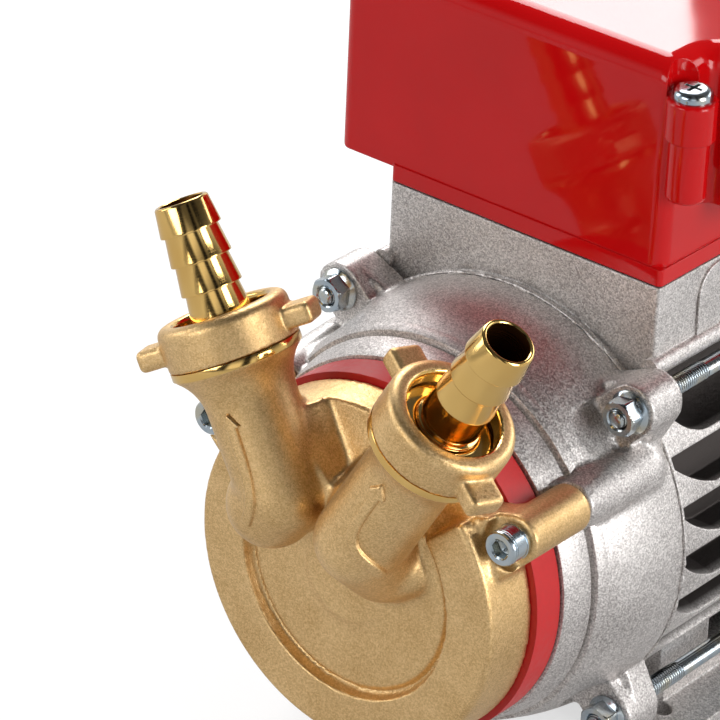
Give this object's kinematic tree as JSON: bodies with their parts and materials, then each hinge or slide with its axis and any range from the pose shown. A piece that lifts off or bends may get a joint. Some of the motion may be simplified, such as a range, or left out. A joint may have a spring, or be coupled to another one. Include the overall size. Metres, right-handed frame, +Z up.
{
  "type": "oil transfer pump",
  "caption": "Electric oil transfer pump: brass pump head with two barbed hose tails in a V on a finned aluminium motor with a red terminal box.",
  "frame": {"origin": "centre of the four base holes, on the face that the feet stand on", "axes": "+Z up, -Y towards the brass pump head, +X to the right seen from the pump head; the motor shaft lies along Y"},
  "size_m": [0.1437, 0.2733, 0.225],
  "materials": {
    "black_plastic": "moulded",
    "cast_aluminium": "die-cast, shot-blasted",
    "cast_brass": "sand-cast, shot-blasted",
    "cowl_steel": "powder coated",
    "gasket_rubber": "matte",
    "red_cover_plastic": "gloss moulded",
    "red_gasket_ring": "matte",
    "shaft_steel": "ground",
    "turned_brass": "machined, polished",
    "zinc_steel": "blue zinc plated"
  },
  "bodies": {
    "root": {"cable_gland": "black_plastic", "cover_gasket": "gasket_rubber", "cover_screw_front": "zinc_steel", "cover_screw_rear": "zinc_steel", "fan": "black_plastic", "fan_cover": "cowl_steel", "fan_cover_screw_1": "zinc_steel", "fan_cover_screw_2": "zinc_steel", "fan_cover_screw_3": "zinc_steel", "fan_cover_screw_4": "zinc_steel", "foot_left": "cast_aluminium", "foot_right": "cast_aluminium", "foot_screw_1": "zinc_steel", "foot_screw_2": "zinc_steel", "foot_screw_3": "zinc_steel", "foot_screw_4": "zinc_steel", "front_bracket": "cast_aluminium", "front_nut_1": "zinc_steel", "front_nut_2": "zinc_steel", "front_nut_3": "zinc_steel", "front_nut_4": "zinc_steel", "head_screw_bottom": "zinc_steel", "head_screw_left": "zinc_steel", "head_screw_right": "zinc_steel", "hose_tail_left": "turned_brass", "hose_tail_right": "turned_brass", "motor_casing": "cast_aluminium", "motor_shaft": "shaft_steel", "pump_head": "cast_brass", "rear_nut_1": "zinc_steel", "rear_nut_2": "zinc_steel", "rear_nut_3": "zinc_steel", "rear_nut_4": "zinc_steel", "rear_shield": "cast_aluminium", "red_ring": "red_gasket_ring", "switch_bezel": "black_plastic", "switch_rocker": "black_plastic", "terminal_cover": "red_cover_plastic", "tie_rod_1": "zinc_steel", "tie_rod_2": "zinc_steel", "tie_rod_3": "zinc_steel", "tie_rod_4": "zinc_steel", "union_nut_left": "cast_brass", "union_nut_right": "cast_brass"}
  },
  "joints": []
}
